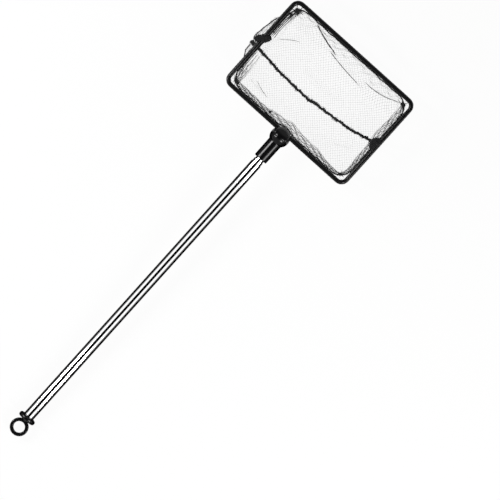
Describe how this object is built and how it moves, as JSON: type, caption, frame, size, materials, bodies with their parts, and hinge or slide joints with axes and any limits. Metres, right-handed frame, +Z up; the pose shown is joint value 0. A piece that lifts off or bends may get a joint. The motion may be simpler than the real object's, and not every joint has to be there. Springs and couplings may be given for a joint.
{
  "type": "aquarium fish net",
  "caption": "Rectangular mesh fish net on a coated wire frame, with a ball socket and a telescopic steel handle that ends in a hanging ring.",
  "frame": {"origin": "middle of the object's box, on the surface that the net lies on, mouth up and handle pushed in", "axes": "+Y along the handle from the hanging ring to the frame, +X along the frame's long side, +Z up"},
  "size_m": [0.1688, 0.515, 0.0398],
  "materials": {
    "wire_steel": "drawn steel wire",
    "black_coating": "glossy black dip coating",
    "black_plastic": "glossy black moulded plastic",
    "tube_steel": "polished stainless steel tube",
    "shim_brass": "thin sprung brass sheet",
    "mesh_netting": "fine open black nylon netting",
    "black_thread": "black polyester sewing thread"
  },
  "bodies": {
    "handle": {"outer_tube": "tube_steel", "end_cap": "black_plastic"},
    "middle_shims": {"middle_shim_left": "shim_brass", "middle_shim_right": "shim_brass"},
    "middle_section": {"middle_tube": "tube_steel"},
    "inner_shims": {"inner_shim_left": "shim_brass", "inner_shim_right": "shim_brass"},
    "head": {"inner_tube": "tube_steel", "head_socket": "black_plastic", "frame_wire": "wire_steel", "frame_coating": "black_coating", "bag_panel_far_side": "mesh_netting", "bag_panel_handle_side": "mesh_netting", "bag_seam": "black_thread", "hem_stitching_far_side": "black_thread", "hem_stitching_handle_side": "black_thread", "seam_wrap_left": "black_thread", "seam_wrap_right": "black_thread"}
  },
  "joints": [
    {"name": "middle_slide", "type": "slide", "parent": "handle", "child": "middle_shims", "axis": [0, 0.9986, 0.0523], "range_m": [0, 0.315]},
    {"name": "middle_swivel", "type": "hinge", "parent": "middle_shims", "child": "middle_section", "pos_m": [0.00217, -0.21555, 0.0105], "axis": [0, 0.9986, 0.0523], "continuous": true},
    {"name": "inner_slide", "type": "slide", "parent": "middle_section", "child": "inner_shims", "axis": [0, 0.9986, 0.0523], "range_m": [0, 0.306]},
    {"name": "inner_swivel", "type": "hinge", "parent": "inner_shims", "child": "head", "pos_m": [0.00217, -0.20307, 0.01116], "axis": [0, 0.9986, 0.0523], "continuous": true}
  ]
}
